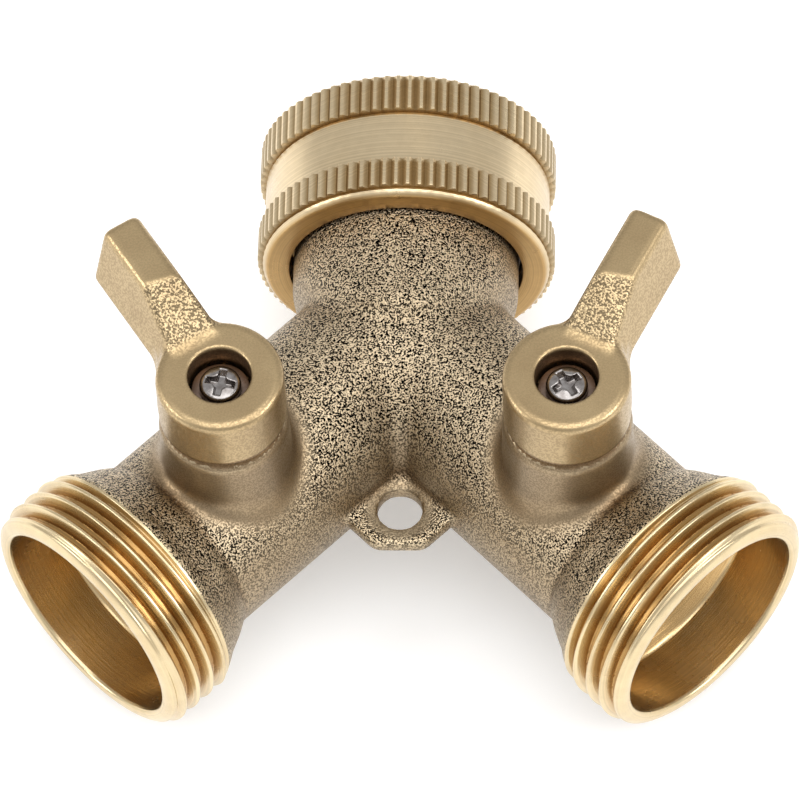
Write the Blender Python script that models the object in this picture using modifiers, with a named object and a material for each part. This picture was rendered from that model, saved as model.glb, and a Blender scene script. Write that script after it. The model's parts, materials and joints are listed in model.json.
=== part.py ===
"""Brass two-way garden hose splitter: one swivel inlet nut, two ball valves, two threaded outlets.

The fitting lies on its back. +Z is the valve stems' direction, +Y points out of the inlet and the
outlets point down and apart towards -Y. X = 0 is the plane between the two arms. Lengths are metres.
"""
import math

import bmesh
import bpy
from mathutils import Matrix, Vector

MM = 0.001

# Pipe thread G 3/4: 26.44 mm over the crests, 24.12 mm over the roots, 14 threads to the inch.
THREAD_MAJOR_R = 13.22 * MM
THREAD_MINOR_R = 12.06 * MM
THREAD_PITCH = 1.814 * MM

# Overall layout
ARM_ANGLE = math.radians(44.4)      # between each arm and -Y
OUTLET_T = 44.2 * MM                # junction to an outlet's end face, along the arm
VALVE_T = 24.0 * MM                 # junction to a stem's axis, along the arm
NUT_R = 15.13 * MM
NUT_LOW = 9.65 * MM                 # nut's rear face, from the junction along +Y
NUT_TOP = 23.80 * MM                # nut's mouth
AXIS_Z = NUT_R                      # pipe axes above the surface it lies on
GAP = 0.3 * MM                      # clearance between touching pieces

# Casting
TUBE_R = 9.95 * MM
NECK_R = 11.45 * MM
NECK_END = 13.6 * MM
NECK_BEVEL = 0.6 * MM
NECK_TAIL = ((11.45, -3.0), (6.0, -9.0), (0, -9.0))     # (radius, height) in mm, buried in the arms
RING_Y = 11.9 * MM                  # the snap ring's plane, from the junction along +Y
RING_WIRE_R = 0.4 * MM
RING_SINK = 0.9 * MM                # depth of the ring's groove in the neck
INLET_BORE_R = 7.0 * MM
SEAL_OUTER_R = 11.95 * MM           # inlet washer, just under the nut thread's roots
SEAL_INNER_R = 8.0 * MM
SEAL_THICK = 2.8 * MM
ARM_BORE_R = 4.5 * MM
CAVITY_R = 7.1 * MM
MOUTH_R = 10.95 * MM
LIP_R = 11.9 * MM
LIP_BEVEL = 1.0 * MM
FIRST_CREST = 37.8 * MM             # the thread ridge nearest the casting, along the arm
RIDGES = 4
FLARE = ((12.9, 36.9), (12.45, 36.1), (11.75, 35.0), (11.3, 34.0), (10.85, 33.1), (10.3, 32.2),
         (9.95, 31.9))              # (radius, along the arm) in mm, from the thread down to the tube
ARM_TAIL = -1.5 * MM
MOUTH_CONE = 3.2 * MM               # length of the cone from the cavity out to the mouth
BOSS_R = 6.5 * MM
BOSS_DRAFT = 0.15 * MM
BOSS_ROOT = 4.0 * MM
BOSS_TOP = 16.75 * MM               # above the pipe axis
STEM_BORE_R = 3.6 * MM
LUG_Y = -18.75 * MM
LUG_HOLE_R = 2.25 * MM
LUG_HALF_THICK = 0.8 * MM
LUG_HALF_FOOT = 2.5 * MM            # the flat end between its two cut corners
LUG_HALF_WIDE = 5.1 * MM
LUG_FOOT = -4.0 * MM
LUG_BACK = 6.0 * MM

# Nut
WAIST_R = NUT_R - 0.55 * MM
BAND = 4.4 * MM                     # width of a knurled band
BAND_STEP = 0.5 * MM                # slope from a band down to the waist
TOOTH_DEPTH = 0.35 * MM
MOUTH_BEVEL = 0.4 * MM
REAR_BEVEL = 1.0 * MM

# Valve trim
BALL_R = 6.6 * MM
BALL_BORE_R = 3.9 * MM
SLOT_WIDTH = 2.6 * MM
SLOT_FLOOR = 4.9 * MM
SEAT_IN_R = 4.3 * MM
SEAT_NEAR = 4.3 * MM                # seat faces, from the ball's centre along the arm
SEAT_FAR = 7.1 * MM
RETAINER_FAR = 10.2 * MM
STEM_R = 3.3 * MM
FLANGE_R = 4.2 * MM
FLANGE_LOW = 7.0 * MM
FLANGE_TOP = 8.2 * MM
SQUARE_LOW = 16.2 * MM
O_RING_SINK = 1.1 * MM
TANG_LENGTH = 7.0 * MM
SCREW_HOLE_LOW = 14.6 * MM
SQUARE = 4.2 * MM
O_RING_HEIGHTS = {"lower": 10.6 * MM, "upper": 13.6 * MM}
O_RING_WIRE_R = 0.4 * MM

# Handle
HUB_R = 6.25 * MM
HUB_LOW = 17.1 * MM
HUB_TOP = 23.8 * MM
RECESS_R = 3.1 * MM
RECESS_FLOOR = 20.4 * MM
LEVER_SKEW = math.radians(12.2)     # the lever leans back from square to its arm
LEVER_FOOT = 20.0 * MM              # underside
LEVER_TOP = 27.1 * MM
LEVER_HALF_FOOT = 3.6 * MM
LEVER_HALF_TOP = 1.85 * MM
RAMP_START = 4.4 * MM               # along the lever, from the stem's axis
RAMP_END = 10.5 * MM
LEVER_END = 18.5 * MM
LEVER_NOSE = 0.6 * MM               # how far the end is drawn in at top and bottom
REST_TURN = {"left": 0.0, "right": math.radians(7.3)}
WASHER_R = 2.85 * MM
WASHER_THICK = 0.5 * MM
SCREW_R = 1.25 * MM
SCREW_HEAD_R = 2.05 * MM
SCREW_DOME = ((0, 1.15), (1.1, 1.05), (1.75, 0.75), (2.05, 0.35))   # (radius, height) in mm
SCREW_TIP = 15.0 * MM
CROSS_SIZE = (3.2 * MM, 0.7 * MM, 1.4 * MM)
CROSS_TURN = math.radians(40)

ROUND = 40
SMALL = 24
FINE = 160                          # twice the nut's 80 knurl teeth
SIDES = {"left": -1, "right": 1}

COLOURS = {
    "cast_brass": ((0.60, 0.44, 0.21), 0.48, 1.0),
    "turned_brass": ((0.72, 0.52, 0.24), 0.30, 1.0),
    "handle_brass": ((0.63, 0.45, 0.22), 0.42, 1.0),
    "plated_steel": ((0.62, 0.62, 0.60), 0.25, 1.0),
    "spring_steel": ((0.35, 0.34, 0.33), 0.35, 1.0),
    "chromed_brass": ((0.75, 0.75, 0.74), 0.12, 1.0),
    "white_ptfe": ((0.86, 0.86, 0.83), 0.55, 0.0),
    "black_rubber": ((0.03, 0.03, 0.032), 0.70, 0.0),
}


def clear_scene():
    for thing in list(bpy.data.objects):
        bpy.data.objects.remove(thing, do_unlink=True)


def new_collection(name):
    group = bpy.data.collections.new(name)
    bpy.context.scene.collection.children.link(group)
    return group


def place(name, mesh, group, matrix):
    thing = bpy.data.objects.new(name, mesh)
    group.objects.link(thing)
    thing.matrix_world = matrix
    return thing


def baked(thing):
    """The object's evaluated mesh, welded, with its faces pointing out."""
    bpy.context.view_layer.update()
    graph = bpy.context.evaluated_depsgraph_get()
    mesh = bpy.data.meshes.new_from_object(thing.evaluated_get(graph))
    work = bmesh.new()
    work.from_mesh(mesh)
    bmesh.ops.remove_doubles(work, verts=work.verts, dist=1e-6)
    bmesh.ops.recalc_face_normals(work, faces=work.faces)
    work.to_mesh(mesh)
    work.free()
    return mesh


def turned(name, profile, closed=False, steps=ROUND, matrix=Matrix.Identity(4)):
    """A solid of revolution about Z. The profile holds (radius, height), outer side top to bottom."""
    mesh = bpy.data.meshes.new(name)
    count = len(profile)
    edges = [(i, (i + 1) % count) for i in range(count if closed else count - 1)]
    mesh.from_pydata([(radius, 0.0, height) for radius, height in profile], edges, [])
    thing = place(name, mesh, cutters, matrix)
    screw = thing.modifiers.new("Turn", "SCREW")
    screw.axis = "Z"
    screw.steps = steps
    screw.render_steps = steps
    screw.use_merge_vertices = True
    screw.merge_threshold = 1e-6
    return keep_baked(thing)


def keep_baked(thing):
    old = thing.data
    mesh = baked(thing)
    thing.modifiers.clear()
    thing.data = mesh
    if isinstance(old, bpy.types.Mesh):
        bpy.data.meshes.remove(old)
    return thing


def rod(name, radius, low, high, matrix=Matrix.Identity(4), steps=ROUND):
    return turned(name, [(0, high), (radius, high), (radius, low), (0, low)], steps=steps, matrix=matrix)


def ring(name, outer, inner, low, high, matrix=Matrix.Identity(4), steps=ROUND):
    profile = [(inner, high), (outer, high), (outer, low), (inner, low)]
    return turned(name, profile, closed=True, steps=steps, matrix=matrix)


def box(name, size, centre, matrix=Matrix.Identity(4)):
    work = bmesh.new()
    bmesh.ops.create_cube(work, size=1.0)
    bmesh.ops.scale(work, vec=Vector(size), verts=work.verts)
    bmesh.ops.translate(work, vec=Vector(centre), verts=work.verts)
    mesh = bpy.data.meshes.new(name)
    work.to_mesh(mesh)
    work.free()
    return place(name, mesh, cutters, matrix)


def plate(name, outline, half_thick, matrix=Matrix.Identity(4)):
    """A flat outline in XY, extruded both ways along Z."""
    curve = bpy.data.curves.new(name, "CURVE")
    curve.dimensions = "2D"
    curve.fill_mode = "BOTH"
    curve.extrude = half_thick
    spline = curve.splines.new("POLY")
    spline.points.add(len(outline) - 1)
    for point, (x, y) in zip(spline.points, outline):
        point.co = (x, y, 0.0, 1.0)
    spline.use_cyclic_u = True
    source = place(name + "_outline", curve, cutters, matrix)
    mesh = baked(source)
    bpy.data.objects.remove(source, do_unlink=True)
    bpy.data.curves.remove(curve)
    return place(name, mesh, cutters, matrix)


def combine(target, tool, operation):
    """Boolean of two closed solids; the tool is removed and the result is baked."""
    modifier = target.modifiers.new("Boolean", "BOOLEAN")
    modifier.operation = operation
    modifier.solver = "EXACT"
    modifier.object = tool
    keep_baked(target)
    bpy.data.objects.remove(tool, do_unlink=True)


def finish(thing, material, parent=None):
    """Move a finished solid to the parts collection, with its material and its parent."""
    cutters.objects.unlink(thing)
    parts.objects.link(thing)
    thing.data.name = thing.name
    thing.data.materials.clear()
    colour, roughness, metallic = COLOURS[material]
    paint = bpy.data.materials.new(thing.name + "_" + material)
    paint.use_nodes = True
    shader = paint.node_tree.nodes["Principled BSDF"]
    shader.inputs["Base Color"].default_value = (*colour, 1.0)
    shader.inputs["Roughness"].default_value = roughness
    shader.inputs["Metallic"].default_value = metallic
    thing.data.materials.append(paint)
    thing.data.shade_smooth()
    thing.data.set_sharp_from_angle(angle=math.radians(35))
    if parent is not None:
        bpy.context.view_layer.update()
        matrix = thing.matrix_world.copy()
        thing.parent = parent
        thing.matrix_world = matrix
    return thing


def pivot(name, matrix):
    empty = bpy.data.objects.new(name, None)
    parts.objects.link(empty)
    empty.matrix_world = matrix
    return empty


def frame_at(origin, x_axis, z_axis):
    """A right-handed frame with its local X and Z along the given directions."""
    y_axis = z_axis.cross(x_axis)
    matrix = Matrix((x_axis, y_axis, z_axis)).transposed().to_4x4()
    matrix.translation = origin
    return matrix


UP = Vector((0, 0, 1))
LOW_Y = -((OUTLET_T - LIP_BEVEL) * math.cos(ARM_ANGLE) + THREAD_MAJOR_R * math.sin(ARM_ANGLE))
JUNCTION = Vector((0, -(NUT_TOP + LOW_Y) / 2, AXIS_Z))
INLET = frame_at(JUNCTION, Vector((1, 0, 0)), Vector((0, 1, 0)))


def arm_direction(side):
    return Vector((side * math.sin(ARM_ANGLE), -math.cos(ARM_ANGLE), 0))


def arm_frame(side):
    """Local Z runs out along the arm and local X is up."""
    return frame_at(JUNCTION, UP, arm_direction(side))


def valve_frame(side, turn=0.0):
    """At the ball's centre: local Z up the stem, local X out along the arm, turned about the stem."""
    direction = arm_direction(side)
    frame = frame_at(JUNCTION + direction * VALVE_T, direction, UP)
    return frame @ Matrix.Rotation(turn, 4, "Z")


def thread_ridges(first, count, root, crest, pitch):
    """Points (radius, height) of rounded ridges, from the highest ridge down to the first."""
    points = []
    for index in reversed(range(count)):
        middle = first + index * pitch
        points.append((crest, middle + 0.11 * pitch))
        points.append((crest, middle - 0.11 * pitch))
        if index:
            points.append((root, middle - 0.42 * pitch))
            points.append((root, middle - 0.58 * pitch))
    return points


def build_body():
    """The casting: neck, two arms with outlet threads, two stem bosses and the hanging lug."""
    neck = [(0, NECK_END), (NECK_R - NECK_BEVEL, NECK_END), (NECK_R, NECK_END - NECK_BEVEL)]
    half = RING_WIRE_R + GAP
    neck += [(NECK_R, RING_Y + half), (NECK_R - RING_SINK, RING_Y + half)]
    neck += [(NECK_R - RING_SINK, RING_Y - half), (NECK_R, RING_Y - half)]
    neck += [(radius * MM, height * MM) for radius, height in NECK_TAIL]
    body = turned("body", neck, matrix=INLET)

    arm = [(0, OUTLET_T), (LIP_R, OUTLET_T), (THREAD_MAJOR_R, OUTLET_T - LIP_BEVEL)]
    arm += thread_ridges(FIRST_CREST, RIDGES, THREAD_MINOR_R, THREAD_MAJOR_R, THREAD_PITCH)[1:]
    arm += [(radius * MM, along * MM) for radius, along in FLARE]
    arm += [(TUBE_R, ARM_TAIL), (0, ARM_TAIL)]
    for side in SIDES.values():
        combine(body, turned("arm", arm, matrix=arm_frame(side)), "UNION")
        boss = [(0, BOSS_TOP), (BOSS_R - BOSS_DRAFT, BOSS_TOP)]
        boss += [(BOSS_R + BOSS_DRAFT, BOSS_ROOT), (0, BOSS_ROOT)]
        combine(body, turned("boss", boss, matrix=valve_frame(side)), "UNION")

    shoulder = LUG_FOOT + LUG_HALF_WIDE - LUG_HALF_FOOT
    outline = [(-LUG_HALF_FOOT, LUG_FOOT), (LUG_HALF_FOOT, LUG_FOOT), (LUG_HALF_WIDE, shoulder)]
    outline += [(LUG_HALF_WIDE, LUG_BACK), (-LUG_HALF_WIDE, LUG_BACK), (-LUG_HALF_WIDE, shoulder)]
    lug_frame = Matrix.Translation(JUNCTION + Vector((0, LUG_Y, 0)))
    combine(body, plate("lug", outline, LUG_HALF_THICK, lug_frame), "UNION")

    combine(body, rod("inlet_bore", INLET_BORE_R, -1 * MM, NECK_END + 1 * MM, INLET), "DIFFERENCE")
    inner_step = VALVE_T - SEAT_FAR - GAP
    mouth_step = VALVE_T + RETAINER_FAR + 0.4 * MM
    bore = [(0, OUTLET_T + 1 * MM), (MOUTH_R, OUTLET_T + 1 * MM), (MOUTH_R, mouth_step + MOUTH_CONE)]
    bore += [(CAVITY_R, mouth_step), (CAVITY_R, inner_step), (ARM_BORE_R, inner_step)]
    bore += [(ARM_BORE_R, 0), (0, 0)]
    for side in SIDES.values():
        combine(body, turned("arm_bore", bore, matrix=arm_frame(side)), "DIFFERENCE")
        pocket_r = FLANGE_R + GAP
        stem_bore = [(0, BOSS_TOP + 1 * MM), (STEM_BORE_R, BOSS_TOP + 1 * MM)]
        stem_bore += [(STEM_BORE_R, FLANGE_TOP + GAP), (pocket_r, FLANGE_TOP + GAP)]
        stem_bore += [(pocket_r, 2 * MM), (0, 2 * MM)]
        combine(body, turned("stem_bore", stem_bore, matrix=valve_frame(side), steps=32), "DIFFERENCE")
    combine(body, rod("lug_hole", LUG_HOLE_R, -3 * MM, 3 * MM, lug_frame, steps=SMALL), "DIFFERENCE")
    finish(body, "cast_brass")


def build_nut():
    """The swivel nut: two knurled bands, a plain waist, a thread in its mouth and a ring groove."""
    crest, waist = NUT_R, WAIST_R
    top, low = NUT_TOP, NUT_LOW
    outer = [(0, top), (crest - MOUTH_BEVEL, top), (crest, top - MOUTH_BEVEL), (crest, top - BAND)]
    outer += [(waist, top - BAND - BAND_STEP), (waist, low + BAND + BAND_STEP), (crest, low + BAND)]
    outer += [(crest, low + REAR_BEVEL), (crest - REAR_BEVEL, low), (0, low)]
    nut = turned("swivel_nut", outer, steps=FINE, matrix=INLET)
    for vertex in nut.data.vertices:
        radius = math.hypot(vertex.co.x, vertex.co.y)
        tooth = round(math.atan2(vertex.co.y, vertex.co.x) / (2 * math.pi / FINE))
        if radius > crest - 0.01 * MM and tooth % 2:
            scale = (radius - TOOTH_DEPTH) / radius
            vertex.co.x *= scale
            vertex.co.y *= scale
    rear_r = NECK_R + 0.4 * MM
    seat_r = THREAD_MAJOR_R + 0.15 * MM
    clear = 1 * MM
    bore = [(0, top + clear), (THREAD_MAJOR_R, top + clear), (THREAD_MAJOR_R, top - 0.2 * MM)]
    bore += [(THREAD_MINOR_R, top - 1.0 * MM)]
    for index in range(3):
        middle = top - (2.0 * MM + index * THREAD_PITCH)
        bore += [(THREAD_MAJOR_R, middle + 0.1 * MM), (THREAD_MAJOR_R, middle - 0.1 * MM)]
        bore += [(THREAD_MINOR_R, middle - 0.8 * MM)]
    bore += [(THREAD_MINOR_R, 17.2 * MM), (seat_r, 17.0 * MM), (seat_r, 12.9 * MM)]
    half = RING_WIRE_R + GAP
    groove_r = NECK_R + 1.0 * MM
    bore += [(rear_r, 12.9 * MM), (rear_r, RING_Y + half), (groove_r, RING_Y + half)]
    bore += [(groove_r, RING_Y - half), (rear_r, RING_Y - half), (rear_r, low - clear), (0, low - clear)]
    combine(nut, turned("nut_bore", bore, matrix=INLET), "DIFFERENCE")
    finish(nut, "turned_brass", pivot("nut_swivel_axis", INLET))


def build_inlet_parts():
    """The snap ring that holds the nut on the neck, and the flat washer that seals the hose."""
    profile = wire_section(NECK_R + 0.1 * MM, RING_Y, RING_WIRE_R)
    finish(turned("nut_retaining_ring", profile, closed=True, matrix=INLET), "spring_steel")
    low = NECK_END + GAP
    washer = ring("inlet_washer", SEAL_OUTER_R, SEAL_INNER_R, low, low + SEAL_THICK, INLET)
    finish(washer, "black_rubber")


def wire_section(centre_r, height, wire_r, sides=6):
    """A round wire's section, as (radius, height) points for a ring of it."""
    angles = [-2 * math.pi * i / sides for i in range(sides)]
    return [(centre_r + wire_r * math.cos(a), height + wire_r * math.sin(a)) for a in angles]


def lever_loft(name, matrix):
    """The lever: trapezoid sections along its length, each (along, low, high). Its sides have one draft."""
    nose = LEVER_NOSE
    sections = [
        (RAMP_START - 2.4 * MM, LEVER_FOOT, HUB_TOP - 1.3 * MM),
        (RAMP_END, LEVER_FOOT, LEVER_TOP),
        (LEVER_END - nose, LEVER_FOOT, LEVER_TOP),
        (LEVER_END, LEVER_FOOT + nose, LEVER_TOP - nose),
    ]
    draft = (LEVER_HALF_FOOT - LEVER_HALF_TOP) / (LEVER_TOP - LEVER_FOOT)
    verts, faces = [], []
    for along, low, high in sections:
        foot = LEVER_HALF_FOOT - (low - LEVER_FOOT) * draft
        head = LEVER_HALF_FOOT - (high - LEVER_FOOT) * draft
        for across, height in ((-foot, low), (foot, low), (head, high), (-head, high)):
            verts.append((along, across, height))
    for section in range(len(sections) - 1):
        base = section * 4
        for corner in range(4):
            after = (corner + 1) % 4
            faces.append((base + corner, base + after, base + 4 + after, base + 4 + corner))
    last = len(verts) - 4
    faces += [(3, 2, 1, 0), (last, last + 1, last + 2, last + 3)]
    mesh = bpy.data.meshes.new(name)
    mesh.from_pydata(verts, [], faces)
    return keep_baked(place(name, mesh, cutters, matrix))


def build_handle(name, side, axis):
    """A valve's handle: a round hub with a screw recess and a raised lever off one side of it."""
    frame = axis.matrix_world.copy()
    soft = 0.5 * MM
    hub = [(0, HUB_TOP), (HUB_R - soft, HUB_TOP), (HUB_R, HUB_TOP - soft)]
    hub += [(HUB_R, HUB_LOW), (0, HUB_LOW)]
    handle = turned(name + "_handle", hub, matrix=frame)
    toward_nut = Matrix.Rotation(side * math.pi / 2, 4, "Z")
    skew = Matrix.Rotation(side * LEVER_SKEW, 4, "Z")
    flip = Matrix.Scale(-side, 4, Vector((0, 1, 0)))
    combine(handle, lever_loft("lever", frame @ skew @ toward_nut @ flip), "UNION")
    combine(handle, rod("recess", RECESS_R, RECESS_FLOOR, HUB_TOP + 1 * MM, frame, steps=SMALL), "DIFFERENCE")
    hole = SQUARE + 2 * GAP
    height = RECESS_FLOOR - HUB_LOW + 2 * MM
    middle = (RECESS_FLOOR + HUB_LOW) / 2
    combine(handle, box("square_hole", (hole, hole, height), (0, 0, middle), frame), "DIFFERENCE")
    finish(handle, "handle_brass", axis)


def build_screw(name, axis):
    """The handle's pan-head cross-recess screw and the washer under its head."""
    frame = axis.matrix_world.copy()
    washer_low = RECESS_FLOOR + GAP
    washer_high = washer_low + WASHER_THICK
    washer = ring(name + "_screw_washer", WASHER_R, SCREW_R + GAP, washer_low, washer_high, frame, SMALL)
    finish(washer, "plated_steel", axis)
    low = washer_high + GAP
    head = [(radius * MM, low + height * MM) for radius, height in SCREW_DOME]
    head += [(SCREW_HEAD_R, low), (SCREW_R, low), (SCREW_R, SCREW_TIP), (0, SCREW_TIP)]
    screw = turned(name + "_handle_screw", head, steps=SMALL, matrix=frame)
    for quarter in range(2):
        turn = frame @ Matrix.Rotation(CROSS_TURN + quarter * math.pi / 2, 4, "Z")
        slot = box("slot", CROSS_SIZE, (0, 0, low + 1.1 * MM), turn)
        combine(screw, slot, "DIFFERENCE")
    finish(screw, "plated_steel", axis)


def build_stem(name, axis):
    """The stem: a flange and tang below, two O-ring grooves, and a square that carries the handle."""
    frame = axis.matrix_world.copy()
    top = RECESS_FLOOR - 0.1 * MM
    groove = STEM_R - O_RING_SINK
    half = O_RING_WIRE_R + GAP
    profile = [(0, SQUARE_LOW), (STEM_R, SQUARE_LOW)]
    for height in sorted(O_RING_HEIGHTS.values(), reverse=True):
        profile += [(STEM_R, height + half), (groove, height + half)]
        profile += [(groove, height - half), (STEM_R, height - half)]
    profile += [(STEM_R, FLANGE_TOP), (FLANGE_R, FLANGE_TOP), (FLANGE_R, FLANGE_LOW), (0, FLANGE_LOW)]
    stem = turned(name + "_stem", profile, steps=SMALL, matrix=frame)
    root = SQUARE_LOW - 0.5 * MM
    square = box("square", (SQUARE, SQUARE, top - root), (0, 0, (top + root) / 2), frame)
    combine(stem, square, "UNION")
    tang_width = SLOT_WIDTH - 2 * GAP
    tang_low = SLOT_FLOOR + GAP
    tang_size = (tang_width, TANG_LENGTH, FLANGE_LOW - tang_low + 1 * MM)
    tang_middle = (tang_low + FLANGE_LOW + 1 * MM) / 2
    ball_turn = frame @ Matrix.Rotation(math.pi / 2, 4, "Z")
    combine(stem, box("tang", tang_size, (0, 0, tang_middle), ball_turn), "UNION")
    thread_r = SCREW_R + GAP
    hole = rod("screw_hole", thread_r, SCREW_HOLE_LOW, top + 1 * MM, frame, SMALL)
    combine(stem, hole, "DIFFERENCE")
    finish(stem, "turned_brass", axis)
    for place_name, height in O_RING_HEIGHTS.items():
        centre_r = groove + GAP + O_RING_WIRE_R
        profile = wire_section(centre_r, height, O_RING_WIRE_R)
        o_ring = turned(name + "_stem_o_ring_" + place_name, profile, True, SMALL, frame)
        finish(o_ring, "black_rubber", axis)


def build_ball(name, axis):
    """The ball: its bore lies across the arm when shut, and the stem's slot lies square to the bore."""
    frame = axis.matrix_world.copy()
    work = bmesh.new()
    bmesh.ops.create_uvsphere(work, u_segments=SMALL, v_segments=14, radius=BALL_R)
    mesh = bpy.data.meshes.new("ball")
    work.to_mesh(mesh)
    work.free()
    ball = place(name + "_ball", mesh, cutters, frame)
    sideways = frame @ Matrix.Rotation(math.pi / 2, 4, "X")
    combine(ball, rod("ball_bore", BALL_BORE_R, -8 * MM, 8 * MM, sideways, SMALL), "DIFFERENCE")
    slot_height = 4 * MM
    slot = box("slot", (16 * MM, SLOT_WIDTH, slot_height), (0, 0, SLOT_FLOOR + slot_height / 2), frame)
    combine(ball, slot, "DIFFERENCE")
    finish(ball, "chromed_brass", axis)


def build_seats(name, side):
    """The two PTFE seats that clasp the ball and the slotted ring that holds them in."""
    frame = arm_frame(side)
    outer = CAVITY_R - GAP
    face_r = BALL_R + GAP
    steps = 4
    for which, sign in (("inner", -1), ("outer", 1)):
        cup = []
        start, stop = math.asin(SEAT_IN_R / face_r), math.acos(SEAT_NEAR / face_r)
        for index in range(steps):
            angle = start + (stop - start) * index / (steps - 1)
            cup.append((face_r * math.sin(angle), VALVE_T + sign * face_r * math.cos(angle)))
        profile = cup + [(outer, VALVE_T + sign * SEAT_NEAR), (outer, VALVE_T + sign * SEAT_FAR)]
        profile += [(SEAT_IN_R, VALVE_T + sign * SEAT_FAR)]
        seat = turned(name + "_" + which + "_seat", profile, True, SMALL, frame)
        finish(seat, "white_ptfe")
    low = VALVE_T + SEAT_FAR + GAP
    retainer = ring(name + "_seat_retainer", outer, 4.6 * MM, low, VALVE_T + RETAINER_FAR, frame, SMALL)
    slot_middle = VALVE_T + RETAINER_FAR
    slot = box("driver_slot", (20 * MM, 1.6 * MM, 2.0 * MM), (0, 0, slot_middle), frame)
    combine(retainer, slot, "DIFFERENCE")
    finish(retainer, "turned_brass")


clear_scene()
parts = new_collection("hose_splitter")
cutters = new_collection("cutters")
build_body()
build_nut()
build_inlet_parts()
for side_name, side_sign in SIDES.items():
    rest = REST_TURN[side_name]
    valve_axis = pivot(side_name + "_valve_axis", valve_frame(side_sign, rest))
    bpy.context.view_layer.update()
    build_handle(side_name, side_sign, valve_axis)
    build_screw(side_name, valve_axis)
    build_stem(side_name, valve_axis)
    ball_axis = pivot(side_name + "_ball_axis", valve_frame(side_sign, rest))
    bpy.context.view_layer.update()
    build_ball(side_name, ball_axis)
    build_seats(side_name, side_sign)
bpy.data.collections.remove(cutters)
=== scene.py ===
"""Looks of the brass two-way hose splitter: a sand-cast body, a knurled swivel nut, two lever valves.

Every new surface is an array formula. Cast and blended shapes are the zero surface of a field in
millimetres, turned ones are a profile carried round an axis, and threads and knurls are a radius that
changes with angle and height on a grid.
"""

import json
import math

import bpy
import numpy as np
from mathutils import Matrix, Vector


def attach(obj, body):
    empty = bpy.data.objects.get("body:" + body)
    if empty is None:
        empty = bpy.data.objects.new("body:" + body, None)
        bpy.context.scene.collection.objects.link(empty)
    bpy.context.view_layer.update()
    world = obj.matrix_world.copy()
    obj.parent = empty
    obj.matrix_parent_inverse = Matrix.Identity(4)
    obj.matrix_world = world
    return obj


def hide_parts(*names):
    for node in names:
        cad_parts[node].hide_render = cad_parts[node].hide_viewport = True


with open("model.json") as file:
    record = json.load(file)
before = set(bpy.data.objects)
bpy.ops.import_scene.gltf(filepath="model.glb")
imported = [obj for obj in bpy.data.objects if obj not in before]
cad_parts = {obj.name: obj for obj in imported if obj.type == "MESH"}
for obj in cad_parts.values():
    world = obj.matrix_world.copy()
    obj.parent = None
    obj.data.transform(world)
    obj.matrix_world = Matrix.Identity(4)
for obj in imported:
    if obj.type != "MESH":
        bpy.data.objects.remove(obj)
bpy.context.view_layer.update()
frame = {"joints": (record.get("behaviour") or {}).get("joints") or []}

MM = 0.001

# Sizes in millimetres. The junction is where the inlet's and both arms' axes meet. T is a distance from
# it along an arm, heights of the valve's parts are above the arms' plane, and the nut's are along +Y.
ARM_ANGLE = math.radians(44.4)
OUTLET_T = 44.2
VALVE_T = 24.0
TUBE_R = 9.95
CAST_END = 36.9
NECK_R = 11.45
NECK_END = 13.6
INLET_BORE_R = 7.0
WATER_WAY_R = 4.5
STEM_BORE_R = 3.6
STEM_POCKET_R = 4.5
STEM_POCKET_TOP = 8.5
SNAP_RING_Y = 11.9
LUG_Y = -18.75
LUG_HOLE_R = 2.25
NUT_R = 15.13
NUT_LOW = 9.65
NUT_TOP = 23.8
THREAD_MAJOR_R = 13.22
THREAD_MINOR_R = 12.06
THREAD_PITCH = 1.814
MOUTH_R = 10.95
MOUTH_START_T = 37.8
LIP_T = 43.72
LIP_LAND_R = 12.66
THREAD_START_T = 37.9
BOSS_TOP = 16.75
BOSS_FACE_R = 5.75
HUB_LOW = 17.1
HUB_TOP = 23.8
HUB_R = 6.25
RECESS_R = 3.1
RECESS_FLOOR = 20.4
SQUARE_HALF = 2.4
LEVER_FOOT = 20.0
LEVER_TOP = 27.1
LEVER_HALF_FOOT = 3.6
LEVER_HALF_TOP = 1.85
LEVER_END = 18.5
RAMP_START = 4.4
RAMP_END = 10.5
LEVER_SKEW = math.radians(12.2)
CREASE_SKEW = 0.28
STEM_R = 3.3
O_RING_R = 2.9
O_RING_WIRE_R = 0.4
O_RING_HEIGHTS = {"lower": 10.6, "upper": 13.6}
BALL_R = 6.6
BALL_BORE_R = 3.9
RETAINER_R = 6.8
RETAINER_BORE_R = 4.6
RETAINER_T = 32.8
WASHER_R = 11.95
WASHER_BORE_R = 8.0
REST_TURN = {"left": 0.0, "right": math.radians(7.3)}
SCREW_TURN = {"left": math.radians(32), "right": math.radians(-12)}
SIDES = {"left": -1, "right": 1}

joints = {joint["name"]: joint for joint in frame["joints"]}
stems = [np.array(joints[side + "_valve_turn"]["pos_m"]) for side in SIDES]
JUNCTION = (stems[0] + stems[1]) / 2 + np.array([0, VALVE_T * MM * math.cos(ARM_ANGLE), 0])


# ---------------------------------------------------------------- frames and meshes

def arm_direction(side):
    return np.array([side * math.sin(ARM_ANGLE), -math.cos(ARM_ANGLE), 0.0])


def frame_at(origin, x_axis, z_axis):
    """Columns are the local X, Y and Z axes; the origin is in metres."""
    x_axis, z_axis = np.array(x_axis, float), np.array(z_axis, float)
    return origin, np.stack([x_axis, np.cross(z_axis, x_axis), z_axis], axis=1)


INLET = frame_at(JUNCTION, (1, 0, 0), (0, 1, 0))


def arm_frame(side):
    """Local Z runs out along the arm and local X is up."""
    return frame_at(JUNCTION, (0, 0, 1), arm_direction(side))


def valve_frame(side, turn=0.0):
    """Local Z runs up the stem and local X out along the arm, turned about the stem."""
    direction = arm_direction(side)
    c, s = math.cos(turn), math.sin(turn)
    across = np.cross((0, 0, 1), direction)
    return frame_at(JUNCTION + direction * VALVE_T * MM, c * direction + s * across, (0, 0, 1))


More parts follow.
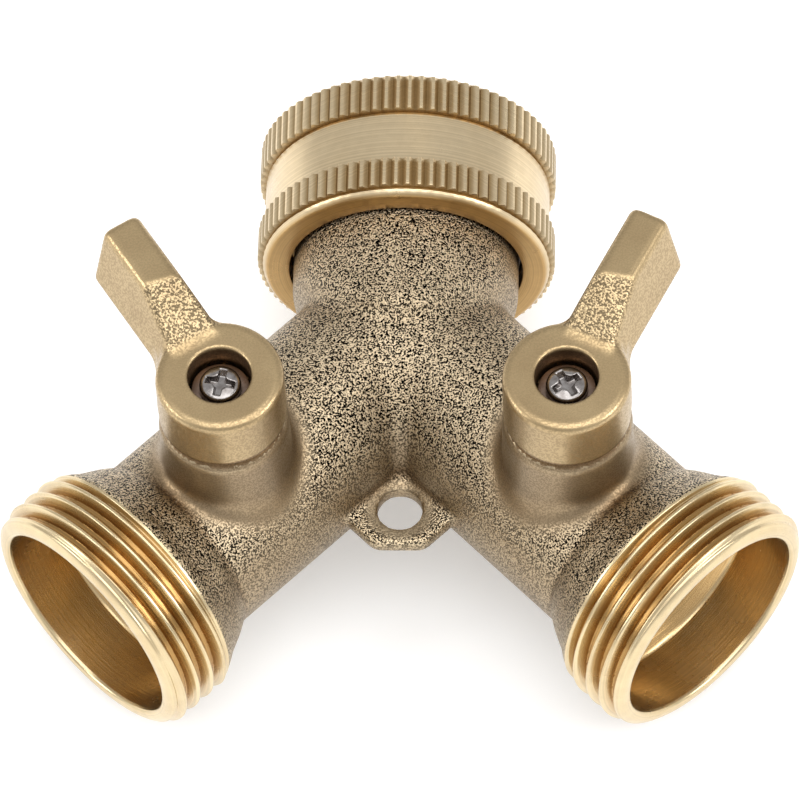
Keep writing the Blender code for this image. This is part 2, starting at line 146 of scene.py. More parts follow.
def make_piece(name, points, faces, where, material, body, nodes, smooth_angle=40.0, values=None):
    """A mesh object from points in millimetres in a local frame, riding on its body.

    The values are stored on the points, each under its own key, for the material to read.
    """
    origin, axes = where
    world = origin + (points @ axes.T) * MM
    mesh = bpy.data.meshes.new(name)
    mesh.from_pydata(world, [], faces)
    for key, array in (values or {}).items():
        layer = mesh.attributes.new(key, "FLOAT", "POINT")
        layer.data.foreach_set("value", array.astype(np.float32).ravel())
    mesh.update()
    mesh.shade_smooth()
    mesh.set_sharp_from_angle(angle=math.radians(smooth_angle))
    mesh.materials.append(material)
    thing = bpy.data.objects.new(name, mesh)
    bpy.context.scene.collection.objects.link(thing)
    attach(thing, body)
    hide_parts(*nodes)
    return thing


def grid_faces(rows, columns, wrap_rows):
    """Quads of a grid of points: (i, j), (i + 1, j), (i + 1, j + 1), (i, j + 1).

    j + 1 runs round to 0 after the last column, and i + 1 after the last row too if wrap_rows is true.
    """
    i = np.arange(rows if wrap_rows else rows - 1)
    j = np.arange(columns)
    i, j = np.meshgrid(i, j, indexing="ij")
    after_i, after_j = (i + 1) % rows, (j + 1) % columns
    corners = [i * columns + j, after_i * columns + j, after_i * columns + after_j, i * columns + after_j]
    return np.stack(corners, axis=-1).reshape(-1, 4)


def turned_points(profile, around, wobble):
    """The profile's (radius, height) points carried round Z: point (i, j) is at angle 2 pi j / around.

    The wobble changes the radius grid, and marks in the root grid where a groove's root lies. Returns the
    grid of points and the root grid.
    """
    profile = np.array(profile, float)
    angle = np.linspace(0, 2 * np.pi, around, endpoint=False)[None, :]
    radius = np.repeat(profile[:, :1], around, axis=1)
    height = np.repeat(profile[:, 1:], around, axis=1)
    root = np.zeros_like(radius)
    if wobble is not None:
        wobble(angle, radius, height, root)
    return np.stack([radius * np.cos(angle), radius * np.sin(angle), height], axis=-1), root


def turned_piece(name, profile, where, material, body, nodes, around=96, closed=True, wobble=None,
                 smooth_angle=40.0, extra=None):
    """A profile running over the top, down the outside and up the inside, carried round Z.

    The wobble, if given, changes the radius and root grids in place, from the angle and the height, for
    knurls, threads and squares. An open profile has both its ends closed with a flat disc. Each point's
    height, radius and root value are stored as along, reach and root, with the extra values beside them.
    """
    points, root = turned_points(profile, around, wobble)
    rows = len(points)
    faces = grid_faces(rows, around, closed).tolist()
    if not closed:
        faces.append(list(range(around)))
        faces.append(list(range(rows * around - 1, (rows - 1) * around - 1, -1)))
    height = points[..., 2].copy()
    radius = np.hypot(points[..., 0], points[..., 1])
    values = {"along": height, "reach": radius, "root": root, **(extra or {})}
    return make_piece(name, points.reshape(-1, 3), faces, where, material, body, nodes,
                      smooth_angle, values)


def rounded(profile, radius, steps=4):
    """The closed profile with a quadratic arc, (1-u)^2 start + 2u(1-u) corner + u^2 stop, at each corner."""
    profile = np.array(profile, float)
    longest = 0.45
    out = []
    for i, here in enumerate(profile):
        back = profile[i - 1] - here
        ahead = profile[(i + 1) % len(profile)] - here
        start = here + back / np.linalg.norm(back) * min(radius, longest * np.linalg.norm(back))
        stop = here + ahead / np.linalg.norm(ahead) * min(radius, longest * np.linalg.norm(ahead))
        for u in np.linspace(0, 1, steps):
            out.append((1 - u) ** 2 * start + 2 * u * (1 - u) * here + u ** 2 * stop)
    return np.array(out)


def wire_section(centre_r, height, wire_r, sides=16):
    """A round wire's section, for a ring of it: (centre_r + wire_r cos a, height + wire_r sin a)."""
    a = -2 * np.pi * np.arange(sides) / sides
    return np.stack([centre_r + wire_r * np.cos(a), height + wire_r * np.sin(a)], axis=1)


# ---------------------------------------------------------------- solids as fields

def smooth_least(a, b, k):
    """The lesser of two fields, with a fillet about k wide where they cross.

    b (1 - h) + a h - k h (1 - h), where h is 1/2 + (b - a) / 2k held between 0 and 1.
    """
    h = np.clip(0.5 + 0.5 * (b - a) / k, 0, 1)
    return b * (1 - h) + a * h - k * h * (1 - h)


def smooth_most(a, b, k):
    """The greater of two fields, with their edge rounded about k wide."""
    return -smooth_least(-a, -b, k)


def skin(field, low, high, cell, slides=4):
    """Points and quads of the surface where the field is zero; the solid is where it is negative.

    Each grid cell that the surface crosses gets one point, at the mean of its crossed edges, and each
    crossed grid edge gets one quad of the four cells round it. Each point p then slides onto the surface,
    to p - field slope / slope squared, by at most half a cell at a time.
    """
    axes = [np.arange(a, b + cell, cell) for a, b in zip(low, high)]
    x, y, z = np.meshgrid(*axes, indexing="ij")
    f = field(x, y, z)
    inside = f < 0
    shape = tuple(n - 1 for n in f.shape)
    total = np.zeros(shape + (3,))
    crossings = np.zeros(shape)
    for axis in range(3):
        others = [k for k in range(3) if k != axis]
        for p in (0, 1):
            for q in (0, 1):
                first, second = [None] * 3, [None] * 3
                first[axis], second[axis] = slice(0, -1), slice(1, None)
                for other, offset in zip(others, (p, q)):
                    first[other] = second[other] = slice(offset, offset + shape[other])
                fa, fb = f[tuple(first)], f[tuple(second)]
                crossed = (fa < 0) != (fb < 0)
                share = np.where(crossed, fa / np.where(crossed, fa - fb, 1), 0)
                total[..., axis] += np.where(crossed, share, 0)
                for other, offset in zip(others, (p, q)):
                    total[..., other] += np.where(crossed, offset, 0)
                crossings += crossed
    active = crossings > 0
    index = np.full(shape, -1)
    index[active] = np.arange(active.sum())
    corner = np.stack(np.nonzero(active), axis=-1)
    points = (corner + total[active] / crossings[active][:, None]) * cell + np.array(low)
    quads = []
    for axis in range(3):
        u, v = (axis + 1) % 3, (axis + 2) % 3
        a, b = [slice(None)] * 3, [slice(None)] * 3
        a[axis], b[axis] = slice(0, -1), slice(1, None)
        sign_a, sign_b = inside[tuple(a)], inside[tuple(b)]
        where = np.stack(np.nonzero(sign_a != sign_b), axis=-1)
        keep = (where[:, u] > 0) & (where[:, v] > 0) & (where[:, u] < shape[u]) & (where[:, v] < shape[v])
        where = where[keep]
        step_u, step_v = np.eye(3, dtype=int)[u], np.eye(3, dtype=int)[v]
        ring = [where - step_u - step_v, where - step_v, where, where - step_u]
        faces = np.stack([index[tuple(cell_at.T)] for cell_at in ring], axis=-1)
        outward = sign_a[tuple(where.T)]
        faces[~outward] = faces[~outward][:, ::-1]
        quads.append(faces)
    quads = np.concatenate(quads)
    eps = cell * 0.05
    for _ in range(slides):
        px, py, pz = points.T
        value = field(px, py, pz)
        slope = np.stack([field(px + eps, py, pz) - field(px - eps, py, pz),
                          field(px, py + eps, pz) - field(px, py - eps, pz),
                          field(px, py, pz + eps) - field(px, py, pz - eps)], axis=-1) / (2 * eps)
        steepness = np.maximum((slope ** 2).sum(axis=1), 0.05)[:, None]
        move = -value[:, None] * slope / steepness
        reach = np.linalg.norm(move, axis=1, keepdims=True)
        points = points + move * np.minimum(1, 0.5 * cell / np.maximum(reach, 1e-9))
    return points, quads


def arm_place(side, x, y):
    """Distance along an arm, x side sin(angle) - y cos(angle), and across it, x side cos + y sin."""
    sin, cos = math.sin(ARM_ANGLE), math.cos(ARM_ANGLE)
    return x * side * sin - y * cos, x * side * cos + y * sin


def tube_profile(t):
    """The arm's outer radius at distance t along it: plain tube, then the flare up to the thread."""
    stations = [-50, 31.7, 32.3, 33.1, 34.0, 35.0, 36.1, 36.9, 38.0]
    radii = [TUBE_R, TUBE_R, 10.35, 10.85, 11.3, 11.78, 12.5, 12.92, 12.95]
    return np.interp(t, stations, radii)


def bore_profile(t):
    """The arm's inner radius at distance t along it: water way, ball cavity, then the mouth's cone."""
    stations = [-50, 16.55, 16.65, 34.55, MOUTH_START_T, 60]
    radii = [WATER_WAY_R, WATER_WAY_R, 7.1, 7.2, 11.15, 11.15]
    return np.interp(t, stations, radii)


def casting_outside(x, y, z):
    """Neck, arms, bosses and lug joined with fillets, from the junction, in millimetres.

    Each part is its distance from an axis less its radius, cut by planes. A factor just under 1 on a
    tapered part keeps the field's slope near 1.
    """
    join, lug_join = 1.5, 1.0
    tail_bend, tail_y = 0.05, -1.3
    boss_r, draft, rim_r, rim_slope, rim_drop = 6.68, 0.02, 5.85, 0.4, 0.4
    neck = smooth_most(np.hypot(x, z) - NECK_R, y - NECK_END, 0.5)
    neck_tail = (tail_bend * x ** 2 + tail_y - y) * 0.8
    neck = smooth_most(neck, neck_tail, 1.6)
    arms = None
    for side in SIDES.values():
        t, across = arm_place(side, x, y)
        arm = np.hypot(across, z) - tube_profile(t)
        arm = smooth_most(arm * 0.92, t - CAST_END, 0.3)
        arm = smooth_most(arm, -t - 3.0, 4.0)
        arms = arm if arms is None else smooth_least(arms, arm, join)
    solid = smooth_least(neck, arms, join)
    for side in SIDES.values():
        t, across = arm_place(side, x, y)
        radius = np.minimum(boss_r - draft * z, rim_r + rim_slope * (BOSS_TOP - z))
        wall = (np.hypot(t - VALVE_T, across) - radius) * 0.93
        boss = smooth_most(wall, z - BOSS_TOP + rim_drop, 0.1)
        boss = np.maximum(boss, -z)
        solid = smooth_least(solid, boss, join)
    return smooth_least(solid, lug_field(x, y - LUG_Y, z), lug_join)


def lug_field(x, y, z):
    """The hanging lug, from its hole's centre: a flat plate with two cut corners and a round hole."""
    half_width, half_end, front, back, half_thick = 5.1, 2.5, 4.0, 6.0, 0.8
    lug = smooth_most(np.abs(x) - half_width, -y - front, 0.4)
    corner = (np.abs(x) - half_end - (y + front)) / math.sqrt(2)
    lug = smooth_most(lug, corner, 0.45)
    lug = np.maximum(lug, y - back)
    lug = smooth_most(lug, np.abs(z) - half_thick, 0.5)
    return smooth_most(lug, LUG_HOLE_R - np.hypot(x, y), 0.3)


def casting_field(x, y, z):
    """The casting's outside, less its water ways, stem bores and ring groove."""
    solid = casting_outside(x, y, z)
    inlet_bore = INLET_BORE_R - np.hypot(x, z) - np.maximum(0, -y - 1)
    solid = smooth_most(solid, inlet_bore, 0.3)
    groove_depth, half_groove = 0.9, 0.7
    groove = np.maximum(np.abs(y - SNAP_RING_Y) - half_groove, NECK_R - groove_depth - np.hypot(x, z))
    solid = np.maximum(solid, -groove)
    for side in SIDES.values():
        t, across = arm_place(side, x, y)
        bore = np.maximum(np.hypot(across, z) - bore_profile(t), -t)
        solid = np.maximum(solid, -bore)
        off_stem = np.hypot(t - VALVE_T, across)
        stem = np.maximum(off_stem - STEM_BORE_R, -z)
        pocket = np.maximum(off_stem - STEM_POCKET_R, np.maximum(-z, z - STEM_POCKET_TOP))
        solid = np.maximum(solid, -np.minimum(stem, pocket))
    return solid


def hollow_of(field, points, reach):
    """How hollow the surface is at each point: minus the field's mean at six probes, over their reach."""
    x, y, z = points.T
    total = np.zeros(len(points))
    probes = [(1, 0, 0), (-1, 0, 0), (0, 1, 0), (0, -1, 0), (0, 0, 1), (0, 0, -1)]
    for dx, dy, dz in probes:
        total += field(x + dx * reach, y + dy * reach, z + dz * reach)
    return -total / len(probes) / reach


def blasted(points):
    """How hard the blast bit: most on level faces, less on walls, least at bosses and the lug's hole."""
    x, y, z = points.T
    eps = 0.3
    slope = (casting_outside(x, y, z + eps) - casting_outside(x, y, z - eps)) / (2 * eps)
    bite = np.clip((np.abs(slope) - 0.1) / 0.5, 0.45, 1)
    for side in SIDES.values():
        t, across = arm_place(side, x, y)
        off_boss = np.clip((np.hypot(t - VALVE_T, across) - 7.3) / 1.5, 0, 1)
        below_boss = np.clip((7 - z) / 2, 0, 1)
        bite *= np.maximum(off_boss, below_boss)
    off_hole = np.clip((np.hypot(x, y - LUG_Y) - 2.9) / 0.8, 0.2, 1)
    return bite * off_hole


def build_casting(material):
    """The whole casting as one skin, and a crisp turned face on top of each stem boss."""
    cell = 0.45
    points, quads = skin(casting_field, (-36, -36, -13.4), (36, 14.4, 17.4), cell)
    # The hollow value sets painted shade in fillets and corners, and its negative a painted highlight on
    # proud edges.
    hollow = hollow_of(casting_outside, points, 1.2)
    place = (JUNCTION, np.eye(3))
    make_piece("casting", points, quads.tolist(), place, material, "casting", ["body"],
               50, {"hollow": hollow, "patch": blasted(points)})
    hole_r, face, foot = 3.65, BOSS_TOP - 0.08, BOSS_TOP - 0.9
    profile = [(hole_r, face - 0.05), (hole_r + 0.05, face), (BOSS_FACE_R - 0.1, face)]
    profile += [(BOSS_FACE_R, face - 0.08), (BOSS_FACE_R + 0.2, face - 0.3)]
    profile += [(BOSS_FACE_R + 0.5, foot), (hole_r, foot)]
    around = 120
    height = np.array(profile)[:, 1:] + np.zeros((1, around))
    # Painted shade: the top of the boss face, under the hub, is stored as hollow so that it comes out dark.
    painted_shade = np.clip((height - BOSS_TOP + 0.45) / 0.3, 0, 1)
    shade = {"hollow": painted_shade, "patch": np.full_like(height, 0.05)}
    for side_name, side in SIDES.items():
        turned_piece(side_name + "_boss_face", profile, valve_frame(side), material, "casting", ["body"],
                     around=around, extra=shade)


def thread_form(turns):
    """A rounded thread section: 1 on the crest, 0 in the root, at a place counted in turns.

    1 - u ^ 1.15, where u is how far the place is down the flank, from 0 to 1.
    """
    crest_share, flank_share = 0.12, 0.62
    away = np.abs((turns % 1.0) - 0.5) * 2
    return 1 - np.clip((away - crest_share) / flank_share, 0, 1) ** 1.15


def build_outlet(side_name, material):
    """The turned end of an arm: mouth cone, rounded lip land and a right-hand helical thread.

    The outer radius at angle a and distance t is root + depth * form((t - start) / pitch - a / 2 pi),
    faded to the lip's land at the mouth and to the casting's bead at its foot.
    """
    rows, cone_steps, wall_steps, cone_r, bead_r = 150, 12, 10, 7.12, 12.85
    outer_t = np.linspace(LIP_T, 36.7, rows)
    outer = [(THREAD_MAJOR_R, t) for t in outer_t]
    lip = [(MOUTH_R, LIP_T), (11.0, 43.98), (11.12, 44.14), (11.3, OUTLET_T), (11.7, OUTLET_T)]
    lip += [(12.0, 44.16), (12.2, 44.05), (12.42, 43.92), (12.55, 43.8)]
    inner = [(10.6, 36.2), (8.4, 34.62), (7.25, 34.55), (cone_r, 34.7)]
    cone = [(cone_r + (MOUTH_R - cone_r) * k / cone_steps, 34.8 + 3.0 * k / cone_steps)
            for k in range(1, cone_steps + 1)]
    wall = [(MOUTH_R, 38.2 + 5.2 * k / wall_steps) for k in range(wall_steps + 1)]
    profile = np.array(lip + outer + inner + cone + wall)
    first, last = len(lip), len(lip) + rows

    def wobble(angle, radius, height, root):
        t = height[first:last]
        turns = (t - THREAD_START_T) / THREAD_PITCH + 0.5 - angle / (2 * np.pi)
        form = thread_form(turns)
        thread = THREAD_MINOR_R + (THREAD_MAJOR_R - THREAD_MINOR_R) * form
        near_lip = np.clip((t - 43.0) / 0.55, 0, 1)
        thread = thread * (1 - near_lip) + LIP_LAND_R * near_lip
        off_bead = np.clip((t - 36.95) / 0.5, 0, 1)
        radius[first:last] = bead_r * (1 - off_bead) + thread * off_bead
        # Painted shade: the root value darkens the thread's grooves, and the bore more and more deeply
        # inside.
        root[first:last] = (1 - form) * (1 - near_lip) * off_bead
        root[last:] = np.clip((39.0 - height[last:]) / 3.5, 0, 1)

    turned_piece(side_name + "_outlet_thread", profile, arm_frame(SIDES[side_name]), material, "casting",
                 ["body"], around=240, wobble=wobble, smooth_angle=60)


def build_nut(material):
    """The swivel nut: two bands of straight knurl, a plain waist and a helical thread in its mouth.

    On the bands the radius is crest - depth * wave(80 a / 2 pi), and the teeth fade where the band's end
    falls to the waist. Inside, the radius is minor + depth * form((height - start) / pitch - a / 2 pi).
    """
    teeth, samples = 80, 8
    top, low = NUT_TOP, NUT_LOW
    waist, band, depth = NUT_R - 0.62, 4.25, 0.42
    edge_r, foot_r, lip_r = NUT_R - 0.03, 14.5, 11.85
    outer = [(13.35, top), (14.3, top), (14.7, top - 0.02), (14.95, top - 0.12), (NUT_R - 0.04, top - 0.26)]
    outer += [(NUT_R, h) for h in np.linspace(top - 0.4, top - band + 0.5, 7)]
    outer += [(edge_r, top - band + 0.12), (waist - 0.15, top - band), (waist - 0.15, top - band - 0.22)]
    # These step points are marked for a painted shadow line where a band falls to the waist.
    waist_steps = [len(outer) - 2, len(outer) - 1]
    outer += [(waist, h) for h in np.linspace(top - band - 0.3, low + band + 0.12, 7)]
    outer += [(waist + 0.02, low + band), (edge_r, low + band - 0.12)]
    outer += [(NUT_R, h) for h in np.linspace(low + band - 0.35, low + 1.05, 7)]
    outer += [(edge_r, low + 0.9), (foot_r, low + 0.84), (foot_r, low + 0.68)]
    waist_steps += [len(outer) - 2, len(outer) - 1]
    outer += [(foot_r + 0.1, low + 0.6), (14.45, low + 0.33), (14.22, low + 0.1)]
    outer += [(14.08, low + 0.02), (13.9, low), (13.0, low), (12.0, low), (11.9, low + 0.06)]
    outer += [(lip_r, low + 0.25)]
    groove = [(lip_r, 11.15), (12.45, 11.2), (12.45, 12.6), (lip_r, 12.65), (lip_r, 12.85)]
    seat = [(13.37, 12.95), (13.37, 16.9), (12.3, 17.2)]
    thread_low = 17.3
    inner = [(THREAD_MINOR_R, t) for t in np.linspace(thread_low, top - 0.9, 44)]
    mouth = [(12.75, top - 0.5), (13.2, top - 0.08)]
    profile = np.array(outer + groove + seat + inner + mouth)
    first = len(outer) + len(groove) + len(seat)
    last = first + len(inner)

    def wobble(angle, radius, height, root):
        tooth = np.abs(((angle * teeth / (2 * np.pi)) % 1.0) - 0.5) * 2
        cut = np.clip((tooth - 0.25) / 0.6, 0, 1)
        outside = slice(0, len(outer))
        knurled = np.clip((radius[outside] - (NUT_R - depth - 0.15)) / (depth + 0.15), 0, 1)
        radius[outside] -= depth * cut * knurled
        step = np.zeros((len(outer), 1))
        step[waist_steps] = 1.0
        # Painted shade: the root value darkens the knurl's grooves and paints a shadow line at each band's
        # step.
        root[outside] = np.maximum(cut * knurled, step)
        t = height[first:last]
        form = thread_form((t - thread_low) / THREAD_PITCH - angle / (2 * np.pi))
        fade = np.clip((t - thread_low - 0.1) / 0.8, 0, 1)
        radius[first:last] += (THREAD_MAJOR_R - THREAD_MINOR_R) * form * fade

    turned_piece("nut_shell", profile, INLET, material, "nut", ["swivel_nut"],
                 around=teeth * samples, wobble=wobble, smooth_angle=32)


def lever_height(x, y):
    """The lever's top: a ramp that rises from the hub's face to the flat grip, its crease set askew."""
    along = x - CREASE_SKEW * np.clip(y, -2, 2) * np.clip((x - 6) / 4, 0, 1)
    rise = (LEVER_TOP - HUB_TOP) / (RAMP_END - RAMP_START) * (along - RAMP_START)
    return -smooth_most(-HUB_TOP - rise, -LEVER_TOP + 0 * x, 0.12)


def handle_field(x, y, z):
    """Hub and lever, less the screw's recess and the stem's square.

    x runs along the lever, y across it towards the outlet, z up the stem. The lever's half width falls in
    a straight line from its foot to its top.
    """
    hub = smooth_most(np.hypot(x, y) - HUB_R, z - HUB_TOP, 0.95)
    hub = smooth_most(hub, HUB_LOW - z, 0.2)
    share = (LEVER_TOP - z) / (LEVER_TOP - LEVER_FOOT)
    half = LEVER_HALF_TOP + (LEVER_HALF_FOOT - LEVER_HALF_TOP) * share
    lever = smooth_most((np.abs(y) - half) * 0.97, (z - lever_height(x, y)) * 0.9, 0.7)
    lever = smooth_most(lever, LEVER_FOOT - z, 0.6)
    lever = smooth_most(lever, x - LEVER_END, 0.8)
    lever = np.maximum(lever, -x - 1)
    fillet = np.interp(z, [22.0, HUB_TOP], [2.2, 0.45])
    solid = smooth_least(hub, lever, fillet)
    recess = np.maximum(np.hypot(x, y) - RECESS_R, RECESS_FLOOR - z)
    solid = smooth_most(solid, -recess, 0.25)
    square = np.maximum(np.maximum(np.abs(x), np.abs(y)) - SQUARE_HALF, z - RECESS_FLOOR - 0.1)
    return np.maximum(solid, -square)


def ramp_patch(points):
    """1 on the ramp, which is left as cast and coarser than the rest, falling to 0 round it."""
    x, y, z = points.T
    near = 1 - np.clip(np.abs(z - lever_height(x, y)) / 0.5 - 0.3, 0, 1)
    along = np.clip((x - RAMP_START - 0.3) / 0.4, 0, 1) * np.clip((RAMP_END + 0.25 * y - x) / 0.4, 0, 1)
    return near * along


def build_handle(side_name, material):
    """The handle: its field has the lever along x, and it is then turned a little past square to the arm.

    The right one is the left one's mirror image, so its faces are turned round.
    """
    side = SIDES[side_name]
    cell = 0.2
    points, quads = skin(handle_field, (-7, -7, 16.6), (19.5, 7, 28), cell)
    hollow = hollow_of(handle_field, points, 0.6)
    # Painted shade deep in the screw's recess, and a painted shadow band at the hub's foot, both stored as
    # hollow.
    inside = np.hypot(points[:, 0], points[:, 1]) < RECESS_R + 0.1
    painted_shade = inside * np.clip((HUB_TOP - 0.25 - points[:, 2]) / 1.2, 0, 1)
    underside = np.clip((HUB_LOW + 0.42 - points[:, 2]) / 0.15, 0, 1)
    hollow = np.maximum(hollow, np.maximum(painted_shade, underside))
    origin, axes = valve_frame(side)
    heading = math.pi / 2 + LEVER_SKEW + REST_TURN[side_name]
    ahead = math.cos(heading) * axes[:, 0] + side * math.sin(heading) * axes[:, 1]
    outward = math.sin(heading) * axes[:, 0] - side * math.cos(heading) * axes[:, 1]
    place = (origin, np.stack([ahead, outward, axes[:, 2]], axis=1))
    if side > 0:
        quads = quads[:, ::-1]
    make_piece(side_name + "_lever_handle", points, quads.tolist(), place, material, side_name + "_valve",
               [side_name + "_handle"], 60, {"hollow": hollow, "patch": ramp_patch(points)})


def screw_field(x, y, z):
    """Domed head with a tapered cross recess, on a plain shank: the dome is top - 0.09 r squared."""
    head_r, head_low, head_top, shank_r, tip, recess_low = 2.05, 21.5, 22.62, 1.25, 15.0, 21.75
    r = np.hypot(x, y)
    head = smooth_most(r - head_r, (z - head_top + 0.09 * r ** 2) * 0.95, 0.4)
    head = smooth_most(head, head_low - z, 0.12)
    shank = np.maximum(r - shank_r, np.maximum(z - 22, tip - z))
    solid = smooth_least(head, shank, 0.15)
    depth = np.maximum(22.65 - z, 0)
    reach, half = 1.7 - 0.75 * depth, 0.38 - 0.1 * depth
    wing = np.minimum(np.maximum(np.abs(x) - half, np.abs(y) - reach),
                      np.maximum(np.abs(y) - half, np.abs(x) - reach))
    core = (r - 0.85 + 0.5 * depth) * 0.9
    cross = np.maximum(smooth_least(wing, core, 0.2), recess_low - z)
    return smooth_most(solid, -cross, 0.12)


def build_screw(side_name, material, washer_material):
    """The handle's screw as a skin, turned to where its cross stopped, and its washer as a turned ring."""
    body = side_name + "_valve"
    place = valve_frame(SIDES[side_name], SCREW_TURN[side_name])
    cell = 0.075
    points, quads = skin(screw_field, (-2.3, -2.3, 14.8), (2.3, 2.3, 22.9), cell)
    hollow = hollow_of(screw_field, points, 0.2)
    make_piece(side_name + "_cross_screw", points, quads.tolist(), place, material, body,
               [side_name + "_handle_screw"], 40, {"hollow": hollow})
    hole_r, rim_r, low, high = 1.55, 2.85, 20.7, 21.2
    profile = rounded([(hole_r, high), (rim_r, high), (rim_r, low), (hole_r, low)], 0.1)
    turned_piece(side_name + "_washer", profile, place, washer_material, body,
                 [side_name + "_screw_washer"], around=72)


def build_stem(side_name, metal, rubber):
    """The stem is one turned grid whose radius becomes a square's on top and a flat tang's below.

    At angle a the square's radius is half side / max(|cos a|, |sin a|), held to its rounded corners, and
    the tang's is the lesser of half thickness / |sin a| and half width / |cos a|.
    """
    body = side_name + "_valve"
    place = valve_frame(SIDES[side_name], REST_TURN[side_name])
    hole_r, flat, groove_r, corner_r, tang_half = 1.55, 2.15, 2.2, 2.9, 3.5
    hole = [(hole_r, 14.6), (hole_r, 20.2), (hole_r + 0.1, 20.3)]
    square = [(2.0, 20.3), (flat, 20.22), (flat, 19.0), (flat, 17.5), (flat, 16.25)]
    column = [(STEM_R, 16.2), (STEM_R, 14.3), (groove_r, 14.28), (groove_r, 12.92), (STEM_R, 12.9)]
    column += [(STEM_R, 11.3), (groove_r, 11.28), (groove_r, 9.92), (STEM_R, 9.9), (STEM_R, 8.25)]
    column += [(4.2, 8.2), (4.2, 7.0)]
    tang = [(1.0, 6.95), (1.0, 6.0), (1.0, 5.25), (0.9, 5.2)]
    profile = hole + square + column + tang

    def wobble(angle, radius, height, root):
        cos, sin = np.abs(np.cos(angle)), np.abs(np.sin(angle))
        top = slice(len(hole), len(hole) + len(square))
        radius[top] = np.minimum(radius[top] / np.maximum(cos, sin), corner_r)
        low = slice(len(profile) - len(tang), len(profile))
        wide = np.minimum(tang_half, tang_half / np.maximum(cos, 1e-6))
        radius[low] = np.minimum(radius[low] / np.maximum(sin, 1e-6), wide)

    turned_piece(side_name + "_valve_stem", profile, place, metal, body, [side_name + "_stem"],
                 around=144, closed=False, wobble=wobble, smooth_angle=30)
    for which, height in O_RING_HEIGHTS.items():
        section = wire_section(O_RING_R, height, O_RING_WIRE_R)
        turned_piece(side_name + "_o_ring_" + which, section, place, rubber, body,
                     [side_name + "_stem_o_ring_" + which], around=72)


def ball_field(x, y, z):
    """A ball bored through along y, with a slot in its top for the stem's tang."""
    half_slot, slot_floor = 1.3, 4.9
    ball = np.sqrt(x ** 2 + y ** 2 + z ** 2) - BALL_R
    ball = smooth_most(ball, BALL_BORE_R - np.hypot(x, z), 0.3)
    return smooth_most(ball, -np.maximum(np.abs(y) - half_slot, slot_floor - z), 0.15)


def retainer_field(x, y, z):
    """A ring with a driver slot across its outer face; z is the distance along the arm."""
    half_height, half_slot, slot_floor = 1.4, 0.8, 33.2
    r = np.hypot(x, y)
    solid = smooth_most(r - RETAINER_R, RETAINER_BORE_R - r, 0.2)
    solid = smooth_most(solid, np.abs(z - RETAINER_T) - half_height, 0.25)
    return smooth_most(solid, -np.maximum(np.abs(y) - half_slot, slot_floor - z), 0.12)


def build_valve_inside(side_name, chrome, ptfe, metal):
    """The ball, its two cupped seats and the slotted ring that holds them in.

    A seat's cup is an arc of radius cup_r about the ball's centre: (cup_r sin a, cup_r cos a).
    """
    side = SIDES[side_name]
    cell = 0.24
    points, quads = skin(ball_field, (-7, -7, -7), (7, 7, 7), cell)
    make_piece(side_name + "_valve_ball", points, quads.tolist(), valve_frame(side, REST_TURN[side_name]),
               chrome, side_name + "_ball_body", [side_name + "_ball"], 40)
    cup_r, inner_r, outer_r, near, far = 6.9, 4.3, 6.8, 4.3, 7.1
    start, stop = math.asin(inner_r / cup_r), math.acos(near / cup_r)
    section = [(cup_r * math.sin(a), cup_r * math.cos(a)) for a in np.linspace(start, stop, 10)]
    section += [(outer_r - 0.05, near + 0.02), (outer_r, near + 0.1), (outer_r, far - 0.1)]
    section += [(outer_r - 0.1, far), (inner_r + 0.1, far), (inner_r, far - 0.1)]
    for which, sign in (("inner", -1), ("outer", 1)):
        profile = [(r, VALVE_T + sign * h) for r, h in section][::-sign]
        turned_piece(side_name + "_seat_" + which, profile, arm_frame(side), ptfe, "casting",
                     [side_name + "_" + which + "_seat"], around=96)
    cell = 0.15
    points, quads = skin(retainer_field, (-7.2, -7.2, 31.1), (7.2, 7.2, 34.6), cell)
    make_piece(side_name + "_slotted_ring", points, quads.tolist(), arm_frame(side), metal, "casting",
               [side_name + "_seat_retainer"], 40)


def build_inlet_trim(rubber, spring):
    """The flat washer in the nut, and the open wire ring that holds the nut on the neck.

    The open ring is the wire's section carried from 200 to 530 degrees, its two ends closed flat.
    """
    low, high = NECK_END + 0.3, NECK_END + 3.1
    corners = [(WASHER_BORE_R, high), (WASHER_R, high), (WASHER_R, low), (WASHER_BORE_R, low)]
    turned_piece("hose_washer", rounded(corners, 0.35), INLET, rubber, "nut", ["inlet_washer"])
    steps, sides = 120, 14
    section = wire_section(NECK_R + 0.1, SNAP_RING_Y, 0.4, sides)
    angle = np.linspace(math.radians(200), math.radians(530), steps)[:, None]
    radius, height = section[None, :, 0], section[None, :, 1]
    points = np.stack([radius * np.cos(angle), radius * np.sin(angle), height + 0 * angle], axis=-1)
    faces = grid_faces(steps, sides, False)[:, ::-1].tolist()
    faces.append(list(range(sides)))
    faces.append(list(range(steps * sides - 1, (steps - 1) * sides - 1, -1)))
    make_piece("snap_ring", points.reshape(-1, 3), faces, INLET, spring, "casting",
               ["nut_retaining_ring"], 40)


# ---------------------------------------------------------------- shader node groups

def new_group(name, inputs, outputs):
    """A shader node group with number sockets: {name: default value}."""
    tree = bpy.data.node_groups.new(name, "ShaderNodeTree")
    for way, sockets in (("INPUT", inputs), ("OUTPUT", outputs)):
        for label, default in sockets.items():
            socket = tree.interface.new_socket(label, in_out=way, socket_type="NodeSocketFloat")
            socket.default_value = default
    return tree, tree.nodes.new("NodeGroupInput"), tree.nodes.new("NodeGroupOutput")


def node(tree, kind, *links, **settings):
    """A node of this kind. Each link is (input, value or output socket); settings are its properties."""
    made = tree.nodes.new("ShaderNode" + kind)
    for key, value in settings.items():
        setattr(made, key, value)
    for socket, source in links:
        if isinstance(source, bpy.types.NodeSocket):
            tree.links.new(source, made.inputs[socket])
        else:
            made.inputs[socket].default_value = source
    return made


